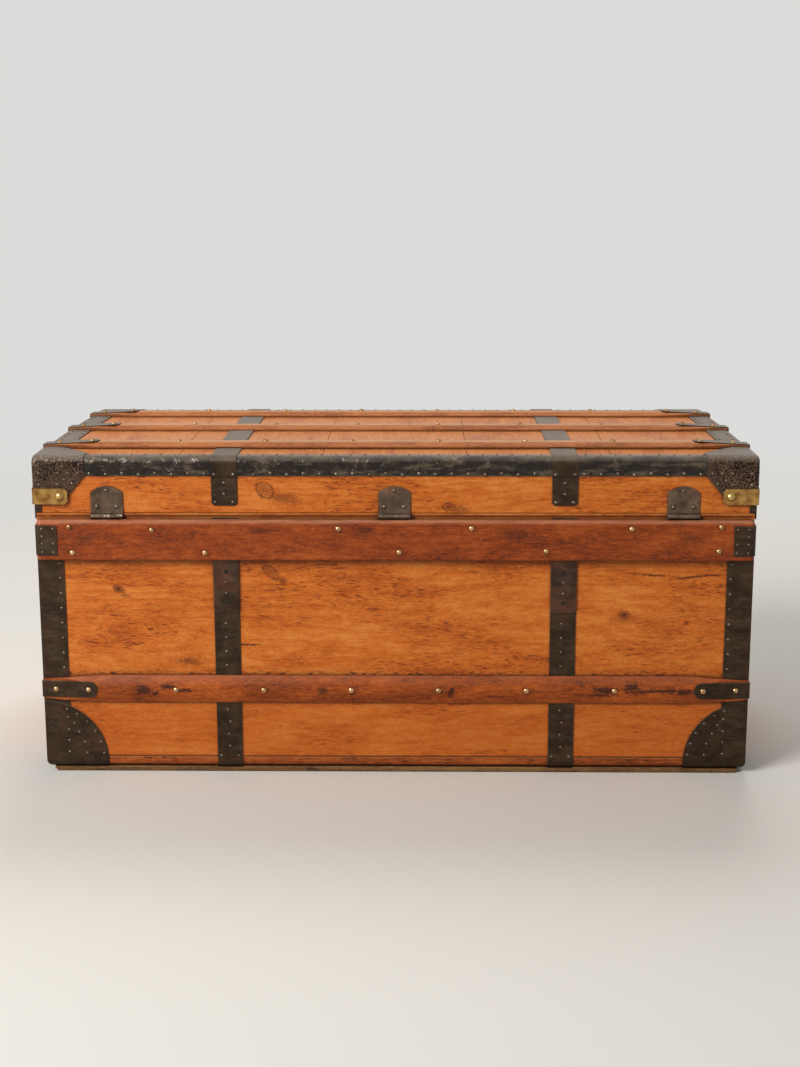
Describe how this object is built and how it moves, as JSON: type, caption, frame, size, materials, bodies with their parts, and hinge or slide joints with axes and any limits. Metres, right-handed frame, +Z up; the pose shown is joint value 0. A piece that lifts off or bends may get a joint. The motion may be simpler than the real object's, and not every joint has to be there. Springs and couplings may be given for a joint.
{
  "type": "slatted travel trunk",
  "caption": "Antique wooden travel trunk with a slightly cambered hinged lid, wooden slats, iron bands and corner caps, brass lid clips, a hasp lock and drop handles on its ends.",
  "frame": {"origin": "on the floor under the middle of the trunk's bounding box", "axes": "+X along the trunk's length, to the right as seen from the hinge side; +Y from the hinge side to the lock side; +Z up"},
  "size_m": [0.937, 0.4824, 0.4227],
  "materials": {
    "pine": "shellacked pine boards, worn",
    "bottom_wood": "raw, dirty pine",
    "rail_wood": "dark stained beech",
    "slat_wood": "stained beech, worn",
    "sheet_iron": "browned sheet iron, dull",
    "black_iron": "black japanned sheet iron, scuffed",
    "brass": "aged brass",
    "forged_iron": "forged iron, browned"
  },
  "bodies": {
    "base": {"base_back_board": "pine", "base_front_board": "pine", "base_left_end_board": "pine", "base_right_end_board": "pine", "bottom_board": "bottom_wood", "back_skid": "bottom_wood", "front_skid": "bottom_wood", "back_upper_rail": "rail_wood", "front_upper_rail_outer_right": "rail_wood", "front_upper_rail_inner_right": "rail_wood", "front_upper_rail_inner_left": "rail_wood", "front_upper_rail_outer_left": "rail_wood", "back_lower_slat": "slat_wood", "front_lower_slat": "slat_wood", "corner_band_back_left": "sheet_iron", "corner_band_back_right": "sheet_iron", "corner_band_front_left": "sheet_iron", "corner_band_front_right": "sheet_iron", "base_corner_cap_back_left": "sheet_iron", "base_corner_cap_back_right": "sheet_iron", "base_corner_cap_front_left": "sheet_iron", "base_corner_cap_front_right": "sheet_iron", "back_straps": "sheet_iron", "front_straps": "sheet_iron", "strap_top_plates": "sheet_iron", "rail_end_plates": "sheet_iron", "slat_end_clamps": "sheet_iron", "hinge_base_leaves": "sheet_iron", "hinge_pins": "sheet_iron", "lock_case": "brass", "catch_cases": "brass", "handle_plate_left": "forged_iron", "handle_plate_right": "forged_iron"},
    "lid": {"lid_back_board": "pine", "lid_front_board": "pine", "lid_left_end_board": "pine", "lid_right_end_board": "pine", "lid_top_boards": "pine", "lid_back_slat": "slat_wood", "lid_middle_slat": "slat_wood", "lid_front_slat": "slat_wood", "lid_slat_clamps": "sheet_iron", "lid_end_bands": "sheet_iron", "lid_corner_caps": "sheet_iron", "lid_straps": "sheet_iron", "lid_end_lips": "sheet_iron", "hinge_lid_leaves": "sheet_iron", "lid_back_binding": "black_iron", "lid_front_binding": "black_iron", "brass_corner_clips": "brass", "clip_rivets": "brass", "hasp_leaves": "brass", "hasp_pins": "brass"},
    "lock_hasp": {"lock_hasp": "brass"},
    "left_catch_hasp": {"left_catch_hasp": "brass"},
    "right_catch_hasp": {"right_catch_hasp": "brass"},
    "lock_bolt": {"lock_bolt": "forged_iron"},
    "left_bail": {"handle_bail_left": "forged_iron"},
    "right_bail": {"handle_bail_right": "forged_iron"}
  },
  "joints": [
    {"name": "lid_hinge", "type": "hinge", "parent": "base", "child": "lid", "pos_m": [0, -0.23035, 0.337], "axis": [1, 0, 0], "range_deg": [0, 100]},
    {"name": "lock_hasp_hinge", "type": "hinge", "parent": "lid", "child": "lock_hasp", "pos_m": [0, 0.23035, 0.3636], "axis": [1, 0, 0], "range_deg": [0, 110]},
    {"name": "left_catch_hinge", "type": "hinge", "parent": "lid", "child": "left_catch_hasp", "pos_m": [0.33, 0.23035, 0.3636], "axis": [1, 0, 0], "range_deg": [0, 110]},
    {"name": "right_catch_hinge", "type": "hinge", "parent": "lid", "child": "right_catch_hasp", "pos_m": [-0.33, 0.23035, 0.3636], "axis": [1, 0, 0], "range_deg": [0, 110]},
    {"name": "lock_bolt_slide", "type": "slide", "parent": "base", "child": "lock_bolt", "axis": [1, 0, 0], "range_m": [0, 0.014]},
    {"name": "left_bail_swing", "type": "hinge", "parent": "base", "child": "left_bail", "pos_m": [-0.4605, 0, 0.228], "axis": [0, 1, 0], "range_deg": [0, 95]},
    {"name": "right_bail_swing", "type": "hinge", "parent": "base", "child": "right_bail", "pos_m": [0.4605, 0, 0.228], "axis": [0, -1, 0], "range_deg": [0, 95]}
  ]
}
